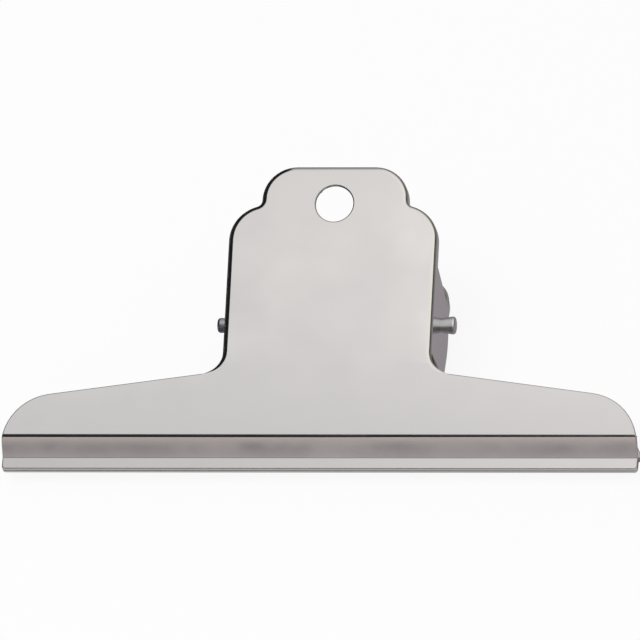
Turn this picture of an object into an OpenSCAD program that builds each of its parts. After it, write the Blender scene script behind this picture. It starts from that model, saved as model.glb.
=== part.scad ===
// Bulldog clip for thick bundles of paper. It lies on its back plate: X runs along the jaw,
// +Y from the hinge pin up the handle and +Z from the back plate towards the front one.
// The origin is on the resting face, straight under the middle of the pin.

/* [Sheet metal] */
// Thickness of both pressed plates
sheet_t = 0.9; // [0.7:0.05:1]
// Outer radius of every bend
bend_r = 1.3; // [1.2:0.05:1.6]

/* [Jaw] */
// Width of the jaw
jaw_w = 149; // [120:0.2:180]
// Distance by which the jaw is set off to the left of the handle
jaw_shift = 0.9; // [0:0.1:1.5]
// Distance down the plate from the pin to the crease
crease_y = 31.6; // [30:0.1:36]
// Angle between the plate and the slanting band under the crease
band_angle = 42.5; // [32:0.5:46]
// Height of the flat lip that grips the paper
lip_h = 2.9; // [2:0.1:4]
// Gap between the two lips of the closed clip
lip_gap = 0.1; // [0.06:0.01:0.3]
// Radius of the lip's lower corners
lip_corner_r = 0.8; // [0.4:0.1:1.2]
// Distance down the plate to where the wing's edge would meet the side of the handle
wing_y = 15.7; // [15:0.1:17]
// Slope of the wing's upper edge
wing_slope = 7.9; // [5:0.1:9]
// Radius of the wing's outer corner
wing_r = 12.5; // [8:0.5:13]
// Radius of the fillet between wing and handle
fillet_r = 5.5; // [4:0.5:7]

/* [Handle] */
// Width of the front handle across its sides
handle_w = 49; // [45:0.5:60]
// Distance up the plate to the start of the rounded shoulder
shoulder_y = 16.8; // [15:0.1:18]
// Radius of the shoulder
shoulder_r = 8.6; // [7:0.1:10]
// Radius of the hollow between shoulder and top
neck_r = 1.6; // [1.5:0.1:3]
// Straight length of the side above the hollow
neck_h = 0.2; // [0.2:0.1:2]
// Radius of the handle's top corners
top_r = 8; // [6:0.5:9]
// Depth of the rim that is bent back round the handle
rim_depth = 4; // [3:0.1:5]
// Distance up the plate to the middle of the hanging hole
hole_y = 25.5; // [25:0.1:27]
// Diameter of the hanging hole
hole_d = 8.8; // [6:0.1:9]

/* [Ears] */
// Distance from the outer face of a plate in to the pin's axis
pin_depth = 13; // [12.3:0.1:14]
// Angle between the plates of the closed clip
plates_angle = 26; // [24:0.5:28]
// Distance up the plate to the top of the ear
ear_top_y = 11.2; // [10:0.1:13]
// Direction from the pin to the ear's upper corner, from straight in
ear_corner_angle = 41; // [36:1:48]
// Gap between an ear's edge and the inner face of the other plate
ear_gap = 0.5; // [0.4:0.05:1]
// Gap between an outer and an inner ear
side_gap = 0.1; // [0.06:0.01:0.2]

/* [Hinge pin] */
// Diameter of the pin
pin_d = 3; // [2.6:0.1:3.4]
// Clearance round the pin in every ear
pin_fit = 0.05; // [0.03:0.01:0.09]
// Length of each end outside the outer ears
pin_end_h = 3.5; // [2.5:0.1:4.5]
// Diameter of the right end, which is spread wide
pin_end_d = 4.2; // [3.8:0.1:5]
// Diameter of the left end, which is only just spread
pin_foot_d = 3.5; // [3.4:0.05:4]
// Width of the ledge with which an end seats on its ear
pin_seat = 0.12; // [0.08:0.01:0.3]
// Radius of the outer edge of both ends
pin_edge_r = 0.7; // [0.4:0.1:0.9]

/* [Torsion spring] */
// Diameter of the spring wire
wire_d = 2; // [1.6:0.1:2.2]
// Diameter of the coil, to the middle of the wire
coil_d = 8.4; // [8:0.1:9.4]
// Whole turns in the coil
coil_turns = 12; // [6:1:14]
// Gap from turn to turn
coil_gap = 0.5; // [0.44:0.01:0.6]
// Straight length of each leg
leg_h = 16; // [12:0.5:17]
// Radius at which a leg turns into its foot, to the middle of the wire
foot_r = 2.2; // [2:0.1:2.6]

/* [Hidden] */
$fn = 96;

// Overrun of cuts, and overlap of the flat sheet with the strips swept round its edge
over = 1;
// Middle of the pin, as depth in from the outer face of the back plate
pin_at = [0, 0, pin_depth];
// Half of the handle's width: the outer ears are on the front plate, the inner ones on the back
front_half = handle_w / 2;
back_half = front_half - sheet_t - side_gap;
// Reach of the jaw to the left and to the right of the handle's middle
jaw_left = jaw_w / 2 + jaw_shift;
jaw_right = jaw_w / 2 - jaw_shift;
// Half of the angle between the plates leads from a plate to the middle plane
lean = plates_angle / 2;
// Distance of the crease from the middle plane, and the band that leads in from there
crease_out = pin_depth * cos(lean) - crease_y * sin(lean);
band_h = (crease_out - sheet_t - lip_gap / 2) / sin(band_angle + lean);
crease = [-crease_y, 0];
lip_start = crease + band_h * [-cos(band_angle), sin(band_angle)];
lip_end_y = lip_start.x - lip_h * cos(lean);
// Direction from the shoulder's middle to its end. Both shares are exact decimals of a unit
// vector, so that the stretches of the rim meet face to face.
shoulder_end_shares = [0.28, 0.96];
shoulder_turn = atan2(shoulder_end_shares.y, shoulder_end_shares.x);
// Steps in the arc of an outline
arc_steps = 12;
bore_r = pin_d / 2 + pin_fit;
ear_r = pin_depth - sheet_t - ear_gap;

function arc(centre, r, from, to, steps = arc_steps) =
    [for (i = [0:steps]) let (a = from + (to - from) * i / steps) centre + r * [cos(a), sin(a)]];
function flipped(points) = [for (i = [len(points) - 1:-1:0]) [-points[i].x, points[i].y]];

// The wing's upper edge, and the lower end of the fold that stands the ears up
function wing_edge(x) = -wing_y - (x - front_half) * tan(wing_slope);
function fold_end(half) = wing_edge(half + fillet_r) + fillet_r / cos(wing_slope);
// Middles of the shoulder, of the hollow above it and of the top corner, for one half width
function shoulder_at(half) = [half - shoulder_r, shoulder_y];
function hollow_at(half) = shoulder_at(half) + (shoulder_r + neck_r) * shoulder_end_shares;
function neck_half(half) = hollow_at(half).x - neck_r;
function corner_at(half) = [neck_half(half) - top_r, hollow_at(half).y + neck_h];
function top_y(half) = corner_at(half).y + top_r;

// Side view of the sheet, as [distance up the plate, depth]: flat plate, crease, band and lip
module side_section(half) {
    crease_run = bend_r * tan(band_angle / 2);
    inner_r = bend_r - sheet_t;
    turn = band_angle + lean;
    lip_run = inner_r * tan(turn / 2);
    crease_c = crease + [crease_run, bend_r];
    band_back = [-cos(band_angle), sin(band_angle)];
    lip_c = lip_start - lip_run * band_back
        - inner_r * [sin(band_angle), cos(band_angle)];
    lip_tip = lip_start - (lip_h + over) * [cos(lean), sin(lean)];
    lip_in = sheet_t * [-sin(lean), cos(lean)];
    polygon(concat(
        [[top_y(half), 0]],
        arc(crease_c, bend_r, -90, -90 - band_angle),
        arc(lip_c, inner_r, 90 - band_angle, 90 + lean),
        [lip_tip, lip_tip + lip_in],
        arc(lip_c, bend_r, 90 + lean, 90 - band_angle),
        arc(crease_c, inner_r, -90 - band_angle, -90),
        [[top_y(half), sheet_t]]));
}

// One half of the flat sheet's outline, from the lip up to the handle's top
function outline(half, reach) = let (
    in = bend_r + over,
    low = [half + fillet_r, fold_end(half)]) concat(
    arc([reach - lip_corner_r, lip_end_y + lip_corner_r], lip_corner_r, -90, 0),
    arc([reach - wing_r, wing_edge(reach - wing_r) - wing_r / cos(wing_slope)],
        wing_r, 0, 90 - wing_slope),
    arc(low, fillet_r, 270 - wing_slope, 180),
    [[half - in, low.y]],
    arc(shoulder_at(half), shoulder_r - in, 0, shoulder_turn),
    [[neck_half(half) - in, hollow_at(half).y]],
    arc(corner_at(half), top_r - in, 0, 90));

module sheet(half) {
    intersection() {
        rotate([90, 0, 90]) linear_extrude(2 * jaw_left + over, center = true) side_section(half);
        translate([0, 0, -over]) linear_extrude(pin_depth)
            polygon(concat(outline(half, jaw_right), flipped(outline(half, jaw_left))));
    }
}

// Section through the rim, with the outside towards +X: lap on the flat sheet, bend and wall
module rim_section() {
    translate([-sheet_t, bend_r]) square([sheet_t, rim_depth - bend_r]);
    translate([-bend_r, bend_r]) intersection() {
        difference() {
            circle(bend_r);
            circle(bend_r - sheet_t);
        }
        translate([0, -bend_r]) square(bend_r);
    }
    translate([-bend_r - over * 2, 0]) square([over * 2, sheet_t]);
}
module straight_rim(length) {
    rotate([90, 0, 0]) linear_extrude(length) rim_section();
}

// Round stretches: the rim as a full ring, cut to the sector between the side and the shoulder's
// end. The hollow is the other way round: its sector is turned half a turn and its outside is in.
sector_r = shoulder_r * 2;
sector = sector_r * [[0, 0], [1, 0], [1, 1], shoulder_end_shares];
module shoulder_rim() {
    intersection() {
        rotate_extrude() translate([shoulder_r, 0]) rim_section();
        linear_extrude(rim_depth) polygon(sector);
    }
}
module hollow_rim() {
    intersection() {
        rotate_extrude() translate([neck_r, 0]) mirror([1, 0]) rim_section();
        linear_extrude(rim_depth) polygon(-sector);
    }
}
module corner_rim() {
    rotate_extrude(angle = 90) translate([top_r, 0]) rim_section();
}

// Rim of one side, from the straight side up to the top, which runs on past the middle
module half_rim(half) {
    corner = corner_at(half);
    translate([half, shoulder_y]) straight_rim(shoulder_y - fold_end(half));
    translate(shoulder_at(half)) shoulder_rim();
    translate(hollow_at(half)) hollow_rim();
    translate([neck_half(half), corner.y]) straight_rim(neck_h);
    translate(corner) corner_rim();
    translate([corner.x, top_y(half)]) rotate([90, 0, -90]) linear_extrude(corner.x + over)
        mirror([1, 0]) rim_section();
}

// Ear that stands on the fold: its far edge follows the other plate and then curves round the
// pin, so that it stays clear of that plate while the clip opens
module ear(half) {
    low_y = fold_end(half);
    low_z = pin_depth + (ear_r + low_y * sin(plates_angle)) / cos(plates_angle);
    rotate([90, 0, 90]) translate([0, 0, half - sheet_t]) linear_extrude(sheet_t)
        polygon(concat(
            [[ear_top_y, bend_r], [low_y, bend_r], [low_y, low_z]],
            arc([0, pin_depth], ear_r, 90 + plates_angle, 90 - ear_corner_angle),
            [[ear_top_y, rim_depth]]));
}

// One pressed plate, flat on its outer face, with a handle of the given half width
module plate(half) {
    difference() {
        union() {
            sheet(half);
            for (side = [0, 1]) mirror([side, 0, 0]) {
                half_rim(half);
                ear(half);
            }
        }
        translate(pin_at) rotate([0, 90, 0])
            cylinder(r = bore_r, h = handle_w + over, center = true);
        translate([0, hole_y, -over]) cylinder(d = hole_d, h = sheet_t + over * 2);
    }
}

module back_plate() {
    color("lightgray") plate(back_half);
}

module front_plate() {
    color("silver") translate(pin_at) rotate([plates_angle, 0, 0]) mirror([0, 0, 1])
        translate(-pin_at) plate(front_half);
}

// Pin with both ends spread over the outer ears, turned from one profile
pin_tip = front_half + pin_end_h;
function pin_end(end_r) = concat(
    [[pin_d / 2, front_half], [bore_r + pin_seat, front_half]],
    arc([end_r - pin_edge_r, pin_tip - pin_edge_r], pin_edge_r, 0, 90),
    [[0, pin_tip]]);
module hinge_pin() {
    right = pin_end(pin_end_d / 2);
    left = pin_end(pin_foot_d / 2);
    color("darkgray") translate(pin_at) rotate([0, 90, 0]) rotate_extrude()
        polygon(concat([for (i = [len(left) - 1:-1:0]) [left[i].x, -left[i].y]], right));
}

// Torsion spring round the pin. Its legs lean out to the two plates and end in feet that stand
// square on them. Points are [x, y, z] about the middle of the pin.
coil_r = coil_d / 2;
wire_r = wire_d / 2;
coil_pitch = wire_d + coil_gap;
foot_h = wire_d;
face_in = pin_depth - sheet_t;
leg_lean = asin((face_in - foot_h) / norm([coil_r + foot_r, leg_h]))
    - atan((coil_r + foot_r) / leg_h);
coil_from = -90 - leg_lean;
coil_sweep = 360 * coil_turns + 180 - plates_angle - 2 * leg_lean;
coil_half = coil_pitch * coil_sweep / 720;
rings_per_turn = 8;
wire_sides = 6;
coil_rings = round(coil_sweep / 360 * rings_per_turn);

// Leg and foot of one end, from the foot to the coil, on the side of the back plate
leg_way = [cos(leg_lean), -sin(leg_lean)];
leg_root = coil_r * [cos(coil_from), sin(coil_from)];
foot_c = leg_root + leg_h * leg_way + foot_r * [-sin(leg_lean), -cos(leg_lean)];
leg_plan = concat(
    [[foot_c.x + foot_r, -face_in]],
    arc(foot_c, foot_r, 0, 90 - leg_lean, 4),
    [leg_root + leg_h / 2 * leg_way]);
function swung(p, a) = [p.x * cos(a) - p.y * sin(a), p.x * sin(a) + p.y * cos(a)];
coil = [for (i = [0:coil_rings]) let (part = i / coil_rings, a = coil_from - coil_sweep * part)
    [coil_half * (2 * part - 1), coil_r * cos(a), coil_r * sin(a)]];
back_leg = [for (p = leg_plan) [-coil_half, p.x, p.y]];
front_leg = [for (i = [len(leg_plan) - 1:-1:0])
    let (p = swung([leg_plan[i].x, -leg_plan[i].y], plates_angle)) [coil_half, p.x, p.y]];
wire = concat(back_leg, coil, front_leg);

function unit(v) = v / norm(v);
function wire_way(i) = i == 0 ? unit(wire[1] - wire[0])
    : i == len(wire) - 1 ? unit(wire[i] - wire[i - 1])
    : unit(unit(wire[i + 1] - wire[i]) + unit(wire[i] - wire[i - 1]));
function wire_ring(i) = let (
    way = wire_way(i),
    side = unit([1, 0, 0] - way.x * way),
    up = cross(way, side))
    [for (k = [0:wire_sides - 1]) let (a = 360 * k / wire_sides)
        wire[i] + wire_r * (side * cos(a) + up * sin(a))];

// Least gap between turns that are not neighbours along the wire
wire_gap = min([for (i = [0:len(coil) - 1]) for (j = [i + rings_per_turn - 1:len(coil) - 1])
    norm(coil[i] - coil[j])]) - wire_d;
echo(least_gap_of_the_spring = wire_gap);

module torsion_spring() {
    rings = len(wire);
    last = (rings - 1) * wire_sides;
    color("gray") translate(pin_at) polyhedron(
        points = [for (i = [0:rings - 1]) each wire_ring(i)],
        faces = concat(
            [for (k = [1:wire_sides - 2]) [0, k, k + 1]],
            [for (k = [1:wire_sides - 2]) [last, last + k + 1, last + k]],
            [for (i = [0:rings - 2]) for (k = [0:wire_sides - 1]) let (
                a = i * wire_sides + k, b = i * wire_sides + (k + 1) % wire_sides)
                each [[a, a + wire_sides, b], [b, a + wire_sides, b + wire_sides]]]));
}

front_plate();
back_plate();
hinge_pin();
torsion_spring();
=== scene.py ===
# %% [markdown]
# # A wide bulldog clip in polished nickel
#
# The clip has four pieces: two pressed plates, the pin that they hinge on and the spring that
# shuts them. Their sizes and places come from a measured frame, which this script loads and never
# changes. What is made here is the skin that one sees: thin sheet with true bends, rounded cut
# edges, a lathe-turned pin, a spring of round wire, and the finish of each metal.
#
# A polished plate has almost no colour of its own. What it shows is the room, so the last cells,
# which build the light tent, matter as much as the first ones, which build the metal.

# %% Load the frame
import math

import bmesh
import bpy
from mathutils import Matrix, Vector


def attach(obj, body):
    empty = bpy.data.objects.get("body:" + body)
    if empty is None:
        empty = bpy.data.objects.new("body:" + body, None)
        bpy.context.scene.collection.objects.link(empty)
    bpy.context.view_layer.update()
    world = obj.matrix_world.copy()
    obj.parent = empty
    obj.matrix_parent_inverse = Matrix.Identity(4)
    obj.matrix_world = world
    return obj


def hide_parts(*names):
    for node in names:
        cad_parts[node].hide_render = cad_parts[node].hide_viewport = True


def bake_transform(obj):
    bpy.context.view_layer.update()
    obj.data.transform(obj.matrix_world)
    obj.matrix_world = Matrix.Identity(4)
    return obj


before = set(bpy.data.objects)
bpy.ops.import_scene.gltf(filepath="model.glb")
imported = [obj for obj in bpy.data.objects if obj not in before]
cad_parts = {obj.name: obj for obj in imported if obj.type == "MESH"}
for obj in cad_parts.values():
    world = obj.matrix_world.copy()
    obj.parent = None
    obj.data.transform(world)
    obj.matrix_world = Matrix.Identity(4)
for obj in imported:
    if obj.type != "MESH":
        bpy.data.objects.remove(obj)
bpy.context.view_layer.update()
print("nodes:", sorted(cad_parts))

# %% [markdown]
# ## Sizes
#
# Everything is in metres, so a size that is read off a ruler in millimetres is multiplied by MM.
# What all the pieces share is here: the thickness of the sheet, the pin that everything turns on
# and the angle between the plates of the closed clip. The other sizes come where they are needed.

# %% Sizes of the sheet and of the pin
MM = 0.001
SHEET = 0.9 * MM
BEND = 1.3 * MM
PIN_DEPTH = 13 * MM
PIN_R = 1.5 * MM
PIN_CLEARANCE = 0.05 * MM
SIDE_GAP = 0.1 * MM
PLATES_ANGLE = math.radians(26)
LEAN = PLATES_ANGLE / 2
PIN_AT = Vector((0, 0, PIN_DEPTH))
print("sheet, pin and bend in mm:", [round(size / MM, 2) for size in (SHEET, 2 * PIN_R, BEND)])

# %% [markdown]
# ## Tools for picking
#
# Every operator works on what is selected, and the loaded nodes come in selected. So each step
# starts by deselecting everything, and the faces and edges that it needs are then picked in code,
# by where they are. These helpers do only that. Two places count as the same when they are less
# than two thousandths of a millimetre apart, and a comparison leaves a hair of slack beyond that.

# %% Picking things up
SAME = 0.002 * MM
SLACK = 0.01 * MM


def hold(obj):
    """Selects one object alone and makes it the active one."""
    bpy.ops.object.select_all(action="DESELECT")
    obj.select_set(True)
    bpy.context.view_layer.objects.active = obj


def start_edit(obj, everything=False):
    """Opens one object for editing, with all of it picked or nothing."""
    hold(obj)
    bpy.ops.object.mode_set(mode="EDIT")
    bpy.ops.mesh.select_all(action="SELECT" if everything else "DESELECT")


def end_edit():
    bpy.ops.object.mode_set(mode="OBJECT")


def pick(obj, kind, test):
    """Picks the verts, edges or faces of an object in edit mode that pass the test."""
    bpy.ops.mesh.select_mode(type={"verts": "VERT", "edges": "EDGE", "faces": "FACE"}[kind])
    bpy.ops.mesh.select_all(action="DESELECT")
    mesh = bmesh.from_edit_mesh(obj.data)
    chosen = [part for part in getattr(mesh, kind) if test(part)]
    for part in chosen:
        part.select_set(True)
    bmesh.update_edit_mesh(obj.data)
    return len(chosen)


def near(a, b):
    return abs(a - b) < SAME


# %% [markdown]
# ## Tools for drawing
#
# An outline of sheet metal is only ever straight or round. So two strokes are enough to draw it:
# one extrudes along a straight, and one spins round a centre. After each stroke the new end stays
# picked, and the next one goes on from there, as with a pencil that isn't lifted.

# %% Drawing and finishing
FINE_TURN = 12


def new_piece(name):
    piece = bpy.context.object
    piece.name = name
    piece.data.name = name
    return piece


def run(*vector):
    """Extrudes what is picked along a straight."""
    bpy.ops.mesh.extrude_region_move(TRANSFORM_OT_translate={"value": vector})


def turn(centre, angle, steps=FINE_TURN, axis=(0, 0, 1)):
    """Spins what is picked anticlockwise, where the operator itself counts clockwise."""
    bpy.ops.mesh.spin(steps=steps, angle=-angle, center=centre, axis=axis)


def weld():
    bpy.ops.mesh.remove_doubles(threshold=SAME)


def finish_with(obj, kind, **settings):
    """Adds a modifier to an object, sets it and applies it."""
    hold(obj)
    modifier = obj.modifiers.new(kind.lower(), kind)
    for name, value in settings.items():
        setattr(modifier, name, value)
    bpy.ops.object.modifier_apply(modifier=modifier.name)


# %% [markdown]
# ## The rim of the handle
#
# The real plate is stamped: one blow cuts the outline, the next ones bend the rim, the ears and the
# jaw. In Blender the quickest way to such a rim is to draw its section once, a quarter circle and
# a short wall, and to drag it round the handle: extrude along the straight stretches, spin round
# the corners. That gives every bend its true radius, which a bevel on a sharp box only approaches.
#
# A plate is drawn lying flat on its outer face: X runs along the jaw, Y up the handle and Z into
# the clip. The same drawing serves both plates, because they differ only in the width of the
# handle: the back plate's ears have to fit between those of the front plate.

# %% Sizes of the handle
FRONT_HALF = 24.5 * MM
BACK_HALF = FRONT_HALF - SHEET - SIDE_GAP
SHOULDER_Y = 16.8 * MM
SHOULDER_R = 8.6 * MM
SHOULDER_END = Vector((0.28, 0.96))
SHOULDER_TURN = math.atan2(SHOULDER_END.y, SHOULDER_END.x)
NECK_R = 1.6 * MM
NECK_H = 0.2 * MM
TOP_R = 8 * MM
RIM_DEPTH = 4 * MM
EAR_TOP_Y = 11.2 * MM
WING_Y = 15.7 * MM
WING_SLOPE = math.radians(7.9)
FILLET_R = 5.5 * MM
print("half widths of the handles in mm:", round(FRONT_HALF / MM, 2), round(BACK_HALF / MM, 2))


# %% Sweep the rim round one half of the handle
def wing_edge(x):
    """The height of the wing's upper edge, which slopes away from the handle."""
    return -WING_Y - (x - FRONT_HALF) * math.tan(WING_SLOPE)


def fold_end(half):
    """Where the side of the handle ends and the fillet to the wing begins."""
    return wing_edge(half + FILLET_R) + FILLET_R / math.cos(WING_SLOPE)


def rim_section(bend_at):
    """The section of the rim in the middle of the top: a quarter circle and the wall behind it."""
    bpy.ops.mesh.primitive_circle_add(
        vertices=4 * FINE_TURN, radius=BEND, location=bend_at, rotation=(0, math.radians(90), 0))
    skin = new_piece("skin")
    bpy.ops.object.transform_apply(location=True, rotation=True)
    start_edit(skin)
    pick(skin, "verts", lambda v: v.co.y < bend_at[1] - SLACK or v.co.z > BEND + SLACK)
    bpy.ops.mesh.delete(type="VERT")
    pick(skin, "verts", lambda v: near(v.co.z, BEND))
    run(0, 0, RIM_DEPTH - BEND)
    return skin


def rim_skin(half):
    """Half of the handle's rim, dragged from the middle of the top down to the ear's lower end."""
    shoulder = Vector((half - SHOULDER_R, SHOULDER_Y, 0))
    hollow = shoulder + (SHOULDER_R + NECK_R) * SHOULDER_END.to_3d()
    corner = Vector((hollow.x - NECK_R - TOP_R, hollow.y + NECK_H, 0))
    skin = rim_section((0, corner.y + TOP_R - BEND, BEND))
    pick(skin, "edges", lambda e: True)
    run(corner.x, 0, 0)
    turn(corner, math.radians(-90))
    run(0, -NECK_H, 0)
    turn(hollow, SHOULDER_TURN)
    turn(shoulder, -SHOULDER_TURN)
    run(0, EAR_TOP_Y - SHOULDER_Y, 0)
    run(0, fold_end(half) - EAR_TOP_Y, 0)
    end_edit()
    print("rim:", len(skin.data.polygons), "faces, top at", round((corner.y + TOP_R) / MM, 2), "mm")
    return skin


# %% [markdown]
# ## The flange that dies out in the fillet
#
# Between handle and wing the fold can't stop dead, since the sheet would tear there. It runs on
# round the fillet and flattens until it is lost in the edge of the wing. So the bend alone, without
# its wall, is spun round the fillet, and then each ring of it is opened in step with how far round
# it lies. The outline of the fillet stays where the blanking die cut it.

# %% Spin the fold round the fillet and let it flatten
def flatten(v, centre, whole):
    """Opens the bend at one vertex, the more the further round the fillet it lies."""
    across = (v.co - centre).to_2d()
    round_it = math.atan2(-across.y, -across.x)
    bent = math.acos(max(-1, min(1, 1 - v.co.z / BEND)))
    end_bend = math.radians(90) * (1 - round_it / whole)
    bent *= end_bend / math.radians(90)
    reach = FILLET_R + BEND * (math.sin(end_bend) - math.sin(bent))
    v.co.xy = centre.xy + across.normalized() * reach
    v.co.z = BEND * (1 - math.cos(bent))


def fillet_skin(skin, half):
    centre = Vector((half + FILLET_R, fold_end(half), 0))
    whole = math.radians(90) - WING_SLOPE
    start_edit(skin)
    pick(skin, "edges", lambda e: all(
        near(v.co.y, centre.y) and v.co.z < BEND + SLACK for v in e.verts))
    turn(centre, whole)
    mesh = bmesh.from_edit_mesh(skin.data)
    for v in mesh.verts:
        if v.co.y < centre.y - SLACK and v.co.z < BEND + SLACK:
            flatten(v, centre, whole)
    bmesh.update_edit_mesh(skin.data)
    bpy.ops.mesh.select_all(action="SELECT")
    weld()
    end_edit()


# %% [markdown]
# ## The ear
#
# The ear is the same wall, standing far deeper. Its far edge is a cam: an arc round the pin
# that keeps clear of the other plate however far the clip is opened, and a straight stretch that
# lies along that plate when the clip is shut. The outline is drawn point by point, extruding for a
# straight and spinning for the arc, and one face fills it.

# %% Draw the ear on the wall and fill it
EAR_CORNER_ANGLE = math.radians(41)
EAR_GAP = 0.5 * MM
EAR_R = PIN_DEPTH - SHEET - EAR_GAP


def ear_skin(skin, half):
    low_y = fold_end(half)
    low_z = PIN_DEPTH + (EAR_R + low_y * math.sin(PLATES_ANGLE)) / math.cos(PLATES_ANGLE)
    arc_start = PIN_AT + EAR_R * Vector((0, math.sin(EAR_CORNER_ANGLE), math.cos(EAR_CORNER_ANGLE)))
    arc_end = PIN_AT + EAR_R * Vector((0, -math.sin(PLATES_ANGLE), math.cos(PLATES_ANGLE)))
    start_edit(skin)
    pick(skin, "verts", lambda v: (v.co - Vector((half, EAR_TOP_Y, RIM_DEPTH))).length < SAME)
    run(0, arc_start.y - EAR_TOP_Y, arc_start.z - RIM_DEPTH)
    turn(PIN_AT, EAR_CORNER_ANGLE + PLATES_ANGLE, 2 * FINE_TURN, (1, 0, 0))
    run(0, low_y - arc_end.y, low_z - arc_end.z)
    run(0, 0, RIM_DEPTH - low_z)
    pick(skin, "edges", lambda e: all(
        near(v.co.x, half) and v.co.y < EAR_TOP_Y + SLACK and v.co.z > RIM_DEPTH - SLACK
        for v in e.verts))
    weld()
    bpy.ops.mesh.edge_face_add()
    end_edit()
    print("ear: lower corner", round(low_z / MM, 2), "mm deep")


# %% [markdown]
# ## The flat sheet and the jaw
#
# From the end of the fillet the outline goes on as a line: out along the wing's edge, round its
# corner, down the side of the jaw and in along the lip. One face fills the outline, and two bisects
# score it where the press folds it. The slanting band turns about the upper score until the lip at
# its end is down on the other lip, and the lip turns back about the lower one, to lie flat on it.

# %% Sizes of the jaw
JAW_W = 149 * MM
JAW_SHIFT = 0.9 * MM
JAW_LEFT = JAW_W / 2 + JAW_SHIFT
JAW_RIGHT = JAW_W / 2 - JAW_SHIFT
WING_R = 12.5 * MM
CREASE_Y = 31.6 * MM
CREASE_OUT = PIN_DEPTH * math.cos(LEAN) - CREASE_Y * math.sin(LEAN)
BAND_ANGLE = math.radians(42.5)
LIP_GAP = 0.1 * MM
LIP_H = 2.9 * MM
LIP_CORNER_R = 0.8 * MM
BAND_H = (CREASE_OUT - SHEET - LIP_GAP / 2) / math.sin(BAND_ANGLE + LEAN)
LIP_SCORE_Y = -CREASE_Y - BAND_H * math.cos(BAND_ANGLE)
LIP_SCORE_Z = BAND_H * math.sin(BAND_ANGLE)
print("jaw and slanting band in mm:", round(JAW_W / MM, 2), round(BAND_H / MM, 2))


# %% Draw the jaw and fill the sheet
def jaw_outline(half, reach):
    """Draws the edge of the sheet from the end of the fillet to the middle of the lip."""
    wing_out = Vector((math.sin(WING_SLOPE), math.cos(WING_SLOPE), 0))
    fillet_end = Vector((half + FILLET_R, fold_end(half), 0)) - FILLET_R * wing_out
    wing_x = reach - WING_R
    wing_at = Vector((wing_x, wing_edge(wing_x) - WING_R / math.cos(WING_SLOPE), 0))
    corner = Vector((reach - LIP_CORNER_R, LIP_CORNER_R - CREASE_Y - BAND_H - LIP_H, 0))
    pick(bpy.context.object, "verts", lambda v: (v.co - fillet_end).length < SLACK)
    run(*(wing_at + WING_R * wing_out - fillet_end))
    turn(wing_at, WING_SLOPE - math.radians(90))
    run(0, corner.y - wing_at.y, 0)
    turn(corner, math.radians(-90), FINE_TURN // 2)
    run(-corner.x, 0, 0)


def fold(skin, score_y, score_z, angle):
    """Turns all of the sheet beyond a score about the score's line."""
    pick(skin, "verts", lambda v: v.co.y < score_y - SLACK)
    bpy.ops.transform.rotate(value=angle, orient_axis="X", center_override=(0, score_y, score_z))


def jaw_skin(skin, half, reach):
    start_edit(skin)
    jaw_outline(half, reach)
    pick(skin, "edges", lambda e: all(
        near(v.co.z, 0) for v in e.verts) and e.is_boundary or e.is_wire)
    bpy.ops.mesh.edge_face_add()
    for score in (-CREASE_Y, -CREASE_Y - BAND_H):
        pick(skin, "faces", lambda f: all(near(v.co.z, 0) for v in f.verts))
        bpy.ops.mesh.bisect(plane_co=(0, score, 0), plane_no=(0, 1, 0))
    fold(skin, -CREASE_Y, 0, BAND_ANGLE)
    fold(skin, LIP_SCORE_Y, LIP_SCORE_Z, -BAND_ANGLE - LEAN)
    end_edit()
    lip_y = min(v.co.y for v in skin.data.vertices)
    print("sheet: lip ends", round(lip_y / MM, 2), "mm along the plate")


# %% [markdown]
# ## The radius of a fold
#
# Turning the sheet about a score leaves an edge as sharp as folded paper. Sheet metal bends over a
# radius, and on polished metal that radius is what one sees: the crease is a soft ribbon of light,
# while at the lip, which is struck almost sharp, the light breaks off in a crisp line. A bevel
# puts the radius in. It is told how far to eat into the flats on both sides, and for a bend of
# radius r through an angle a that is r times the tangent of half of a.

# %% Round the two folds
LIP_BEND = 0.15 * MM


def round_fold(skin, score_y, score_z, bend, angle):
    """Gives a fold its bend, which eats into the flat on either side."""
    start_edit(skin)
    pick(skin, "edges", lambda e: all(
        near(v.co.y, score_y) and near(v.co.z, score_z) for v in e.verts))
    bpy.ops.mesh.bevel(
        offset=bend * math.tan(angle / 2), offset_type="OFFSET", segments=8, affect="EDGES")
    end_edit()


def half_skin(half, reach):
    """One half of a plate's skin, drawn on the right."""
    skin = rim_skin(half)
    fillet_skin(skin, half)
    ear_skin(skin, half)
    jaw_skin(skin, half, reach)
    round_fold(skin, -CREASE_Y, 0, BEND, BAND_ANGLE)
    round_fold(skin, LIP_SCORE_Y, LIP_SCORE_Z, LIP_BEND, BAND_ANGLE + LEAN)
    return skin


# %% [markdown]
# ## From two halves to one skin
#
# The two halves of a plate differ only in the reach of the jaw, which is set off a little to the
# left, so a mirror modifier can't make the plate. The left half is drawn like the right one, turned
# over and joined to it, and the seam in the middle is welded and dissolved. Turning a mesh over
# also turns its faces inside out. So the normals are made to agree afterwards, and to point out of
# the clip, because the thickness is laid on behind them.

# %% Join the halves
FLAT = math.radians(0.02)


def whole_skin(half):
    """The skin of a whole plate, with its normals facing out of the clip."""
    right = half_skin(half, JAW_RIGHT)
    skin = half_skin(half, JAW_LEFT)
    start_edit(skin, everything=True)
    bpy.ops.transform.resize(value=(-1, 1, 1), center_override=(0, 0, 0))
    end_edit()
    right.select_set(True)
    bpy.ops.object.join()
    start_edit(skin, everything=True)
    weld()
    end_edit()
    start_edit(skin, everything=True)
    bpy.ops.mesh.dissolve_limited(angle_limit=FLAT, delimit=set())
    bpy.ops.mesh.normals_make_consistent(inside=False)
    end_edit()
    flat = max(skin.data.polygons, key=lambda face: face.area)
    if flat.normal.z > 0:
        start_edit(skin, everything=True)
        bpy.ops.mesh.flip_normals()
        end_edit()
    return skin


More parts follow.
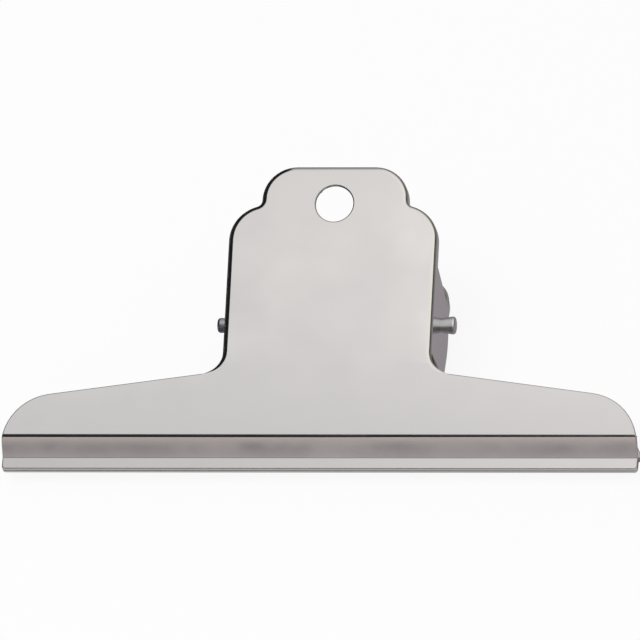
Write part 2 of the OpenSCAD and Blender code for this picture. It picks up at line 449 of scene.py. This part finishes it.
# %% [markdown]
# ## From skin to sheet
#
# Solidify makes sheet of an even thickness out of the skin, which is just what a press leaves. The
# holes are punched after that, as straight cuts through real thickness.
#
# A narrow bevel on every cut edge stands for the wear of tumbling and plating: no edge on such a
# clip is truly sharp. The die draws the edge of the hanging hole in a little more than the others.
# The cut faces go into a second material slot, because torn metal is duller than rolled sheet.

# %% Thicken, punch and break the edges
HOLE_Y = 25.5 * MM
HOLE_R = 4.4 * MM
EDGE_BREAK = 0.22 * MM
HOLE_BREAK = 0.28 * MM
SHARP = math.radians(50)
CUT_SLOT = 1


def punched(plate, radius, length, location, rotation=(0, 0, 0)):
    """Cuts a round hole with a punch that is thrown away afterwards."""
    bpy.ops.mesh.primitive_cylinder_add(
        vertices=96, radius=radius, depth=length, location=location, rotation=rotation)
    punch = bpy.context.object
    finish_with(plate, "BOOLEAN", operation="DIFFERENCE", solver="EXACT", object=punch)
    bpy.data.objects.remove(punch)


def break_edges(plate, width, test):
    """Rounds the cut edges that pass the test."""
    start_edit(plate)
    count = pick(plate, "edges", test)
    bpy.ops.mesh.bevel(
        offset=width, segments=3, affect="EDGES", clamp_overlap=False, material=CUT_SLOT)
    end_edit()
    print("edges broken:", count)


def on_hole(edge):
    """Whether an edge lies on the front or back circle of the hanging hole."""
    low, high = edge.verts
    return near(low.co.z, high.co.z) and all(
        near(math.hypot(v.co.x, v.co.y - HOLE_Y), HOLE_R) for v in edge.verts)


def make_plate(name, half):
    plate = whole_skin(half)
    plate.name = plate.data.name = name
    plate.data.materials.append(None)
    plate.data.materials.append(None)
    finish_with(plate, "SOLIDIFY", thickness=SHEET, offset=-1, use_even_offset=True,
                material_offset_rim=CUT_SLOT)
    break_edges(plate, EDGE_BREAK, lambda e: len(e.link_faces) == 2 and e.calc_face_angle() > SHARP)
    punched(plate, HOLE_R, 4 * SHEET, (0, HOLE_Y, SHEET / 2))
    break_edges(plate, HOLE_BREAK, on_hole)
    punched(plate, PIN_R + PIN_CLEARANCE, 4 * half, PIN_AT, (0, math.radians(90), 0))
    return plate


# %% [markdown]
# ## Two plates from one drawing
#
# Both plates of the clip face outwards, so the front one is the same drawing turned over the pin
# and then swung away from the back one by the angle between them. Turning it over is a scale of
# minus one through the pin, which needs its normals flipped.
#
# Smooth shading alone would bleed the tight bends into the flat faces beside them, and a polished
# face shows the smallest gradient. Normals that are weighted by the area of each face keep the
# large faces flat and the bends round.

# %% Make both plates and open out the front one
def open_out(plate):
    """Turns a plate over the pin, so that it faces the other one at the angle of the closed clip."""
    start_edit(plate, everything=True)
    bpy.ops.transform.resize(value=(1, 1, -1), center_override=PIN_AT)
    bpy.ops.mesh.flip_normals()
    bpy.ops.transform.rotate(value=-PLATES_ANGLE, orient_axis="X", center_override=PIN_AT)
    end_edit()


def shade(piece, angle=40):
    """Smooth shading in which the large faces stay flat and the bends stay round."""
    hold(piece)
    bpy.ops.object.shade_smooth_by_angle(angle=math.radians(angle))
    finish_with(piece, "WEIGHTED_NORMAL", mode="FACE_AREA", weight=80, keep_sharp=True)


back = make_plate("back_plate_pressing", BACK_HALF)
front = make_plate("front_plate_pressing", FRONT_HALF)
open_out(front)
for plate in (back, front):
    shade(plate)
    corners = [[round(c / MM, 2) for c in plate.bound_box[i]] for i in (0, 6)]
    print(plate.name, len(plate.data.polygons), "faces, box in mm", corners)

# %% [markdown]
# ## The hinge pin
#
# The pin is turned stock, cut a little long and spread over the ears when the clip is put together.
# So each half of its outline is drawn along the axis, from the rounded edge of its end over the
# seat against the ear to the middle of the body. Both are joined and spun once round. One end is
# spread wide, and the other one hardly at all.

# %% Draw and spin the pin
PIN_OUT = 3.5 * MM
PIN_TIP = FRONT_HALF + PIN_OUT
RIGHT_END_R = 2.1 * MM
LEFT_END_R = 1.75 * MM
SEAT_SPREAD = 0.12 * MM
SEAT_R = PIN_R + PIN_CLEARANCE + SEAT_SPREAD
END_EDGE_R = 0.7 * MM
LATHE_STEPS = 64


def pin_half(side, end_r):
    """The outline of one half of the pin. The side is 1 for the right one and -1 for the left one."""
    edge_at = PIN_AT + Vector((side * (PIN_TIP - END_EDGE_R), 0, end_r - END_EDGE_R))
    bpy.ops.mesh.primitive_circle_add(
        vertices=32, radius=END_EDGE_R, location=edge_at, rotation=(math.radians(90), 0, 0))
    half = new_piece("pin_half")
    bpy.ops.object.transform_apply(location=True, rotation=True)
    start_edit(half)
    pick(half, "verts", lambda v: side * (v.co.x - edge_at.x) < -SLACK or v.co.z < edge_at.z - SLACK)
    bpy.ops.mesh.delete(type="VERT")
    pick(half, "verts", lambda v: near(v.co.z, edge_at.z))
    run(0, 0, PIN_AT.z - edge_at.z)
    pick(half, "verts", lambda v: near(v.co.z, PIN_AT.z + end_r))
    run(side * FRONT_HALF - edge_at.x, 0, SEAT_R - end_r)
    run(0, 0, PIN_R - SEAT_R)
    run(-side * FRONT_HALF, 0, 0)
    end_edit()
    return half


def lathe_pin():
    left = pin_half(-1, LEFT_END_R)
    pin = pin_half(1, RIGHT_END_R)
    left.select_set(True)
    bpy.ops.object.join()
    pin.name = pin.data.name = "turned_pin"
    start_edit(pin, everything=True)
    weld()
    turn(PIN_AT, math.radians(360), LATHE_STEPS, (1, 0, 0))
    bpy.ops.mesh.select_all(action="SELECT")
    weld()
    bpy.ops.mesh.normals_make_consistent(inside=False)
    end_edit()
    return pin


pin = lathe_pin()
shade(pin, 45)
print(pin.name, len(pin.data.polygons), "faces, length in mm", round(pin.dimensions.x / MM, 2),
      "thickest", round(pin.dimensions.z / MM, 2))

# %% [markdown]
# ## The torsion spring
#
# Spring wire is wound round the pin from a leg on one plate to a leg on the other. The turns and
# legs follow the same path as in the frame, with more points and a truly round section. A curve
# with a round bevel is the right tool, since the wire has the same section from end to end.

# %% Sizes of the spring
WIRE_R = 1 * MM
COIL_R = 4.2 * MM
COIL_TURNS = 12
COIL_GAP = 0.5 * MM
COIL_PITCH = 2 * WIRE_R + COIL_GAP
LEG_H = 16 * MM
FOOT_R = 2.2 * MM
RINGS_PER_TURN = 40
FOOT_STEPS = 12
LEG_SHARES = (0.75, 0.5, 0.25, 0.1)
FACE_IN = PIN_DEPTH - SHEET
LEG_LEAN = math.asin((FACE_IN - 2 * WIRE_R) / math.hypot(COIL_R + FOOT_R, LEG_H)) - math.atan(
    (COIL_R + FOOT_R) / LEG_H)
SWEEP = math.radians(360 * COIL_TURNS + 180) - PLATES_ANGLE - 2 * LEG_LEAN
COIL_HALF = COIL_PITCH * SWEEP / (4 * math.pi)
print("coil from", round(-COIL_HALF / MM, 2), "to", round(COIL_HALF / MM, 2), "mm")

# %% Wind the spring
def leg_plan(start):
    """The foot and the leg on the back plate, seen along the pin, from the plate to the coil."""
    root = Vector((COIL_R * math.cos(start), COIL_R * math.sin(start)))
    way = Vector((math.cos(LEG_LEAN), -math.sin(LEG_LEAN)))
    foot_at = root + LEG_H * way + FOOT_R * Vector((-math.sin(LEG_LEAN), -math.cos(LEG_LEAN)))
    plan = [Vector((foot_at.x + FOOT_R, -FACE_IN))]
    for i in range(FOOT_STEPS + 1):
        a = (math.pi / 2 - LEG_LEAN) * i / FOOT_STEPS
        plan.append(foot_at + FOOT_R * Vector((math.cos(a), math.sin(a))))
    return plan + [root + LEG_H * part * way for part in LEG_SHARES]


def spring_path():
    """Points of the wire about the pin: foot and leg on the back plate, coil, leg and foot on the front."""
    start = -math.pi / 2 - LEG_LEAN
    plan = leg_plan(start)
    rings = round(SWEEP / (2 * math.pi) * RINGS_PER_TURN)
    coil = []
    for i in range(rings + 1):
        a = start - SWEEP * i / rings
        coil.append(Vector((COIL_HALF * (2 * i / rings - 1), COIL_R * math.cos(a), COIL_R * math.sin(a))))
    back_leg = [Vector((-COIL_HALF, p.x, p.y)) for p in plan]
    swing = Matrix.Rotation(PLATES_ANGLE, 3, "X")
    front_leg = [swing @ Vector((COIL_HALF, p.x, -p.y)) for p in reversed(plan)]
    return back_leg + coil + front_leg


def wind_spring():
    path = spring_path()
    curve = bpy.data.curves.new("wound_spring", "CURVE")
    curve.dimensions = "3D"
    curve.bevel_depth = WIRE_R
    curve.bevel_resolution = 6
    curve.use_fill_caps = True
    wire = curve.splines.new("POLY")
    wire.points.add(len(path) - 1)
    for point, place in zip(wire.points, path):
        point.co = (*(PIN_AT + place), 1)
    spring = bpy.data.objects.new("wound_spring", curve)
    bpy.context.collection.objects.link(spring)
    hold(spring)
    bpy.ops.object.convert(target="MESH")
    return bpy.context.object


spring = wind_spring()
shade(spring, 60)
print(spring.name, len(spring.data.polygons), "faces")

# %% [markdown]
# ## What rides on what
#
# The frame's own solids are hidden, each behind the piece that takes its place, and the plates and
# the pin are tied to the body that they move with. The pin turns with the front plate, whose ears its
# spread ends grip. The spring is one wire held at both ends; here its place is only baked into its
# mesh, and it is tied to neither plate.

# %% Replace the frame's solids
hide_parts("back_plate")
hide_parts("front_plate")
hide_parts("hinge_pin")
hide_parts("torsion_spring")
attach(back, "back")
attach(front, "front")
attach(pin, "front")
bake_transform(spring)
print("four pieces stand in for the frame's solids")

# %% [markdown]
# ## Tools for materials
#
# A material is a small network of nodes. One helper adds a node and fills its sockets, either with
# a value or with the output of another node. The rest are the few shapes of network that come up
# again: arithmetic, a share between two limits, a row of shades, and two ways to mix two colours.

# %% Node helpers
def add_node(tree, kind, *ordered, settings=(), **named):
    """Adds a node. Ordered values fill its first sockets, and named ones the sockets of that name."""
    node = tree.nodes.new("ShaderNode" + kind)
    for name, value in dict(settings).items():
        setattr(node, name, value)
    sockets = list(zip(node.inputs, ordered))
    sockets += [(node.inputs[name.replace("_", " ")], value) for name, value in named.items()]
    for socket, value in sockets:
        if isinstance(value, bpy.types.NodeSocket):
            tree.links.new(value, socket)
        else:
            socket.default_value = value
    return node


def maths(tree, operation, *values):
    return add_node(tree, "Math", *values, settings={"operation": operation}).outputs[0]


def share(tree, value, low, high):
    """How far a value lies between two limits, from 0 to 1."""
    return add_node(tree, "MapRange", value, low, high).outputs["Result"]


def shades(tree, value, easing, *stops):
    """Turns a value into a colour. Each stop is a value and its grey or its colour."""
    first, last = stops[0][0], stops[-1][0]
    node = add_node(tree, "ValToRGB", share(tree, value, first, last))
    node.color_ramp.interpolation = easing
    marks = node.color_ramp.elements
    for at, _ in stops[1:-1]:
        marks.new((at - first) / (last - first))
    for mark, (_, grey) in zip(marks, stops):
        mark.color = (*(grey if isinstance(grey, tuple) else (grey,) * 3), 1)
    return node.outputs["Color"]


def mixed(tree, a, b, part=1, kind="MIX"):
    """Goes from one colour to another by a part of 0 to 1, or multiplies the two."""
    mix = add_node(tree, "Mix", part, settings={"data_type": "RGBA", "blend_type": kind})
    tree.links.new(a, mix.inputs[6])
    tree.links.new(b, mix.inputs[7])
    return mix.outputs[2]


# %% [markdown]
# ## The bow of a pressed plate
#
# No pressed plate comes out quite flat. This one falls away towards the jaw, towards the top and
# towards both ends of the jaw, by about half a millimetre at most each way, and by a little more
# next to the rim of the handle. The eye can't see that in the outline, but on a mirror it shades
# the whole face. Bending the mesh would also bend the ears and the folds, so a bump in the material
# carries it. Each fall is in millimetres, and grows with the square of the way along its span.

# %% Bow the face with a bump
FALL_ASIDE = 0.1425
FALL_DOWN = 0.465
FALL_UP = 0.255
FALL_ACROSS = 0.54
ASIDE_SPAN = (12 * MM, FRONT_HALF)
ASIDE_FADE = (-18 * MM, -7 * MM)
DOWN_SPAN = (5 * MM, -45 * MM)
UP_SPAN = (12 * MM, 36 * MM)


def pressed_shape(tree, place):
    """The bow of a plate, as a normal."""
    x, y, _ = add_node(tree, "SeparateXYZ", place).outputs
    aside = maths(tree, "POWER", share(tree, maths(tree, "ABSOLUTE", x), *ASIDE_SPAN), 2.0)
    aside = maths(tree, "MULTIPLY", aside, share(tree, y, *ASIDE_FADE))
    down = maths(tree, "POWER", share(tree, y, *DOWN_SPAN), 2.0)
    up = maths(tree, "POWER", share(tree, y, *UP_SPAN), 2.0)
    across = maths(tree, "POWER", maths(tree, "DIVIDE", x, JAW_LEFT), 2.0)
    fall = maths(tree, "MULTIPLY", aside, FALL_ASIDE)
    for part, height in ((down, FALL_DOWN), (up, FALL_UP), (across, FALL_ACROSS)):
        fall = maths(tree, "ADD", fall, maths(tree, "MULTIPLY", part, height))
    bump = add_node(tree, "Bump", settings={"invert": True}, Strength=1, Distance=MM, Height=fall)
    return bump.outputs["Normal"]


# %% [markdown]
# ## Finishes
#
# Bright nickel is a warm grey mirror. Rolled sheet wavers a little, over some millimetres, and the
# plating bath and the tumbling drum leave faint clouds and hairline scratches in the gloss. The cut
# edges are rougher and darker. The pin is turned steel with a matt end, and the spring is
# oil-tempered wire. They are all metal, and what differs is their colour, their gloss and the scale
# of their grain. So one function makes all of them, laid out in real sizes on the object itself.

# %% Nickel, pin steel and spring steel
CLOUDS_PER_M = 90
CLOUD_SPAN = (0.3, 0.7)
WAVES_PER_M = 60
WAVE_H = 0.1 * MM
SCRATCH_DEPTH = 0.01 * MM


def metal(name, colour, roughness, cloud, waver, grain, scratch, stretch=(1, 1, 1), pressed=False):
    """A metal with clouds in its gloss, a slow waver in its surface and a fine, stretched grain."""
    material = bpy.data.materials.new(name)
    material.use_nodes = True
    tree = material.node_tree
    shader = tree.nodes["Principled BSDF"]
    shader.inputs["Base Color"].default_value = (*colour, 1)
    shader.inputs["Metallic"].default_value = 1
    place = add_node(tree, "TexCoord").outputs["Object"]

    clouds = add_node(tree, "TexNoise", Vector=place, Scale=CLOUDS_PER_M, Detail=4)
    gloss = add_node(
        tree, "MapRange", clouds.outputs["Fac"], *CLOUD_SPAN, roughness - cloud, roughness + cloud)
    tree.links.new(gloss.outputs["Result"], shader.inputs["Roughness"])

    slow = add_node(tree, "TexNoise", Vector=place, Scale=WAVES_PER_M, Detail=1)
    surface = add_node(tree, "Bump", Strength=waver, Distance=WAVE_H, Height=slow.outputs["Fac"])
    if pressed:
        tree.links.new(pressed_shape(tree, place), surface.inputs["Normal"])

    stretched = add_node(tree, "Mapping", Vector=place, Scale=stretch)
    fine = add_node(tree, "TexNoise", Vector=stretched.outputs["Vector"], Scale=grain, Detail=6)
    hairlines = add_node(
        tree, "Bump", Strength=scratch, Distance=SCRATCH_DEPTH, Height=fine.outputs["Fac"],
        Normal=surface.outputs["Normal"])
    tree.links.new(hairlines.outputs["Normal"], shader.inputs["Normal"])
    return material


nickel = metal("bright_nickel", (0.655, 0.632, 0.62), 0.13, 0.03, 0.05, 900, 0.15,
               stretch=(1, 0.25, 1), pressed=True)
cut_nickel = metal("cut_edge_nickel", (0.4, 0.385, 0.38), 0.36, 0.05, 0.2, 1500, 0.4)
pin_steel = metal("turned_steel", (0.66, 0.665, 0.71), 0.42, 0.06, 0.2, 2500, 0.5, stretch=(4, 1, 1))
wire_steel = metal("spring_wire", (0.46, 0.45, 0.45), 0.3, 0.06, 0.2, 1500, 0.4)
pin.data.materials.append(pin_steel)
spring.data.materials.append(wire_steel)
for plate in (back, front):
    plate.data.materials[0] = nickel
    plate.data.materials[CUT_SLOT] = cut_nickel
    print(plate.name, "cut faces:", sum(face.material_index for face in plate.data.polygons))

# %% [markdown]
# ## Floor and background
#
# The floor is a pale sheet that keeps the shadow of the clip, and the world behind it is white. To
# look white without throwing more light on the metal, both glow only where the camera, a reflection
# or a view through glass looks at them, which the Light Path node tells apart.

# %% Floor and world
def light_share(tree, part):
    """A part for what is seen straight, mirrored or through glass, and nothing for other light."""
    path = add_node(tree, "LightPath").outputs
    seen = maths(tree, "MAXIMUM", path["Is Camera Ray"], path["Is Glossy Ray"])
    seen = maths(tree, "MAXIMUM", seen, path["Is Transmission Ray"])
    return maths(tree, "MULTIPLY", seen, part)


bpy.ops.mesh.primitive_plane_add(size=60, location=(0, 0, 0))
floor = new_piece("floor")
paper = bpy.data.materials.new("pale_paper")
paper.use_nodes = True
tree = paper.node_tree
matt = tree.nodes["Principled BSDF"]
matt.inputs["Base Color"].default_value = (0.9, 0.9, 0.9, 1)
matt.inputs["Roughness"].default_value = 1
matt.inputs["Specular IOR Level"].default_value = 0
white = add_node(tree, "Emission").outputs["Emission"]
sheet = add_node(tree, "MixShader", light_share(tree, 0.9), matt.outputs["BSDF"], white)
tree.links.new(sheet.outputs["Shader"], tree.nodes["Material Output"].inputs["Surface"])
floor.data.materials.append(paper)

world = bpy.data.worlds.new("studio")
bpy.context.scene.world = world
world.use_nodes = True
tree = world.node_tree
level = add_node(tree, "MapRange", light_share(tree, 1), To_Min=0.55, To_Max=1)
tree.links.new(level.outputs["Result"], tree.nodes["Background"].inputs["Strength"])
tree.nodes["Background"].inputs["Color"].default_value = (1, 1, 1, 1)
print("floor and world are white to the eye")

# %% [markdown]
# ## Cloth for the light tent
#
# What shapes polished metal is what stands round it. A photographer puts such an object in a tent,
# bright overhead, with dark cloths low down at the sides. Every bend in the sheet sweeps its
# reflection over the edge of a cloth, and that draws the black line along it. Lamps could light
# such cloths, but one that glows by itself is smooth, and its shade is simply what is written down.
# Only reflections see it: the camera looks through it, and it throws no light and no shadow on
# anything matt.

# %% Glowing cloth
def only_mirrored(obj):
    for ray in ("visible_camera", "visible_diffuse", "visible_shadow", "visible_transmission"):
        setattr(obj, ray, False)


def hang_cloth(obj, colouring):
    """Gives a glowing material to a cloth, coloured by a function of its place."""
    cloth = bpy.data.materials.new(obj.name)
    cloth.use_nodes = True
    tree = cloth.node_tree
    tree.nodes.remove(tree.nodes["Principled BSDF"])
    place = add_node(tree, "TexCoord").outputs["Object"]
    glow = add_node(tree, "Emission", Color=colouring(tree, place))
    tree.links.new(glow.outputs["Emission"], tree.nodes["Material Output"].inputs["Surface"])
    obj.data.materials.append(cloth)
    only_mirrored(obj)


# %% [markdown]
# ## The dome of the tent
#
# The tent itself is a large dome, shaded by direction, so a reflection depends only on the way that
# the metal faces. Its left side is black almost up to the top. Its near side is dark too, but for
# a light foot. Its right side has a dark belt low down and is white above it, with a little yellow,
# and its rear side rises slowly from grey to white. The first number of each stop is the height,
# from 0 at the horizon to 1 overhead, and then comes the shade there, as a grey or as a colour.

# %% The dome
TENT_R = 3


def dome_sides(tree, up):
    """The shades of the five sides of the dome, from the horizon up."""
    left = shades(
        tree, up, "EASE", (-0.1, 0.015), (0.92, 0.02), (0.95, (1.0, 1.02, 1.08)),
        (0.97, (0.95, 0.96, 0.99)), (1, 0.95))
    near_side = shades(
        tree, up, "EASE", (-0.05, (0.6, 0.56, 0.54)), (0.22, (0.6, 0.55, 0.53)), (0.29, 0.03),
        (0.88, 0.03), (0.94, (0.74, 0.76, 0.8)), (1, 0.68))
    rear = shades(
        tree, up, "EASE", (-0.1, 0.24), (0.12, 0.28), (0.55, 0.45), (0.76, 0.72),
        (0.93, (0.92, 0.93, 0.955)), (0.97, 1.12), (1, 1.12))
    right = shades(
        tree, up, "EASE", (-0.2, (0.3, 0.28, 0.3)), (0.1, (0.2, 0.18, 0.19)), (0.2, 0.05),
        (0.4, 0.05), (0.54, (1.15, 1.15, 0.98)), (0.8, (1.18, 1.2, 1.1)), (0.95, 1.12), (1, 1.1))
    right_rear = shades(
        tree, up, "EASE", (-0.1, (0.14, 0.13, 0.13)), (0.3, (0.18, 0.165, 0.155)),
        (0.5, (0.5, 0.47, 0.42)), (0.7, (1.0, 1.0, 0.93)), (1, 1.0))
    return left, near_side, rear, right, right_rear


def dome_colour(tree, place):
    """Joins the sides of the dome, with soft seams between them."""
    way = add_node(tree, "VectorMath", place, settings={"operation": "NORMALIZE"}).outputs["Vector"]
    x, y, up = add_node(tree, "SeparateXYZ", way).outputs
    left, near_side, rear, right, right_rear = dome_sides(tree, up)
    middle = mixed(tree, near_side, rear, shades(tree, y, "EASE", (-0.2, 0.0), (-0.1, 1.0)))
    backward = shades(tree, y, "EASE", (-0.115, 1.0), (-0.085, 0.85), (1, 0.85))
    sideward = shades(tree, x, "EASE", (-0.3, 0.94), (-0.174, 1.01), (-0.08, 1.16))
    middle = mixed(tree, middle, backward, kind="MULTIPLY")
    middle = mixed(tree, middle, sideward, kind="MULTIPLY")
    leftward = mixed(tree, left, middle, shades(tree, x, "EASE", (-0.3, 0.0), (-0.24, 1.0)))
    rightward = mixed(tree, right, right_rear, shades(tree, y, "EASE", (0.25, 0.0), (0.5, 1.0)))
    return mixed(tree, leftward, rightward, shades(tree, x, "EASE", (-0.08, 0.0), (0.06, 1.0)))


bpy.ops.mesh.primitive_uv_sphere_add(
    segments=96, ring_count=48, radius=TENT_R, location=(0, 0, 0))
tent = new_piece("light_tent")
bpy.ops.object.shade_smooth()
hang_cloth(tent, dome_colour)
print("dome:", len(tent.data.polygons), "faces")

# %% [markdown]
# ## Two cloths close to the clip
#
# A dome far away can't shade a face from one end to the other, because all of a flat face mirrors
# the same spot of it. That takes something near. A mat lies under the clip and behind it, black on
# the left and grey from the middle on, and what stands upright mirrors it, such as the sides of the
# handle. Its black and grey are painted dark that glows for reflections only, so the metal mirrors it
# in place of the white floor there. A low card with a dark stripe stands in front of the jaw, for the
# slanting band to mirror.

# %% The mat behind the clip and the card in front of it
MAT_LOW = (-1, -0.035)
MAT_HIGH = (1, 1)
MAT_LIFT = 0.1 * MM
CARD_HALF = 0.4
CARD_H = 0.014
CARD_AWAY = 0.1


def add_cloth(name, low, high, colouring):
    """A flat cloth between two corners in its own plane."""
    bpy.ops.mesh.primitive_plane_add(size=2, location=(0, 0, 0))
    cloth = new_piece(name)
    width, height = high[0] - low[0], high[1] - low[1]
    start_edit(cloth, everything=True)
    bpy.ops.transform.resize(value=(width / 2, height / 2, 1), center_override=(0, 0, 0))
    bpy.ops.transform.translate(value=(low[0] + width / 2, low[1] + height / 2, 0))
    end_edit()
    hang_cloth(cloth, colouring)
    return cloth


def mat_colour(tree, place):
    """Painted dark for reflections, along the jaw, in metres from the middle of the clip."""
    return shades(
        tree, add_node(tree, "SeparateXYZ", place).outputs["X"], "LINEAR",
        (-0.2, (0.03, 0.03, 0.028)), (-0.05, (0.03, 0.03, 0.028)), (-0.01, (0.25, 0.245, 0.25)),
        (0.03, (0.34, 0.315, 0.335)), (0.08, (0.3, 0.285, 0.3)), (0.2, (0.1, 0.1, 0.1)))


def card_colour(tree, place):
    """Shades up the card, in metres from its foot."""
    return shades(
        tree, add_node(tree, "SeparateXYZ", place).outputs["Y"], "LINEAR",
        (0.0, (0.5, 0.45, 0.44)), (0.0024, (0.46, 0.43, 0.44)), (0.0038, (0.41, 0.385, 0.41)),
        (0.005, (0.23, 0.22, 0.235)), (0.0062, (0.28, 0.27, 0.28)), (0.0076, (0.78, 0.72, 0.68)),
        (CARD_H, (0.84, 0.78, 0.73)))


# The mat glows with painted dark that only reflections see, laid over the white floor.
mat = add_cloth("dark_mat", MAT_LOW, MAT_HIGH, mat_colour)
mat.location.z = MAT_LIFT
card = add_cloth("front_card", (-CARD_HALF, 0), (CARD_HALF, CARD_H), card_colour)
card.location.y = -CARD_AWAY
card.rotation_euler.x = math.radians(90)
print("the card stands", round(CARD_AWAY / MM), "mm in front of the pin")

# %% [markdown]
# ## The lamp
#
# One soft lamp high on the left gives the floor its faint shadow. The metal doesn't mirror it,
# because the tent already is all that the metal mirrors.

# %% Soft box
LAMP_AT = (-0.35, -0.25, 1.1)
LAMP_W = 0.8
LAMP_WATTS = 6

bpy.ops.object.light_add(type="AREA", location=LAMP_AT)
lamp = bpy.context.object
lamp.name = "soft_box"
lamp.data.shape = "DISK"
lamp.data.size = LAMP_W
lamp.data.energy = LAMP_WATTS
lamp.rotation_euler = (-lamp.location).to_track_quat("-Z", "Y").to_euler()
lamp.visible_glossy = False
print("lamp:", LAMP_W, "m wide and", LAMP_AT[2], "m up")

# %% [markdown]
# ## Camera
#
# The photograph is almost free of perspective, as if it was taken from far away with a long lens.
# The directions below were fitted to the outline of the clip in it. The lens follows from how many
# millimetres the picture takes in.

# %% Camera
TO_CAMERA = Vector((0.1544, -0.7006, 0.6967)).normalized()
UPWARD = Vector((0, 0.7051, 0.7091)).normalized()
RIGHTWARD = UPWARD.cross(TO_CAMERA).normalized()
AIM_LEFT = 3.95 * MM
AIM_UP = 1.16 * MM
AIM = PIN_AT - AIM_LEFT * RIGHTWARD + AIM_UP * UPWARD
CAMERA_DISTANCE = 6
PICTURE_WIDTH = 148.8 * MM

bpy.ops.object.camera_add()
camera = bpy.context.object
camera.name = "camera"
camera.data.sensor_width = 36
camera.data.lens = camera.data.sensor_width * CAMERA_DISTANCE / PICTURE_WIDTH
camera.data.clip_start = 0.1
camera.data.clip_end = 60
camera.matrix_world = Matrix.Translation(AIM + CAMERA_DISTANCE * TO_CAMERA) @ Matrix(
    (RIGHTWARD, UPWARD, TO_CAMERA)).transposed().to_4x4()
scene = bpy.context.scene
scene.camera = camera
scene.view_settings.view_transform = "Standard"
print("lens in mm:", round(camera.data.lens))
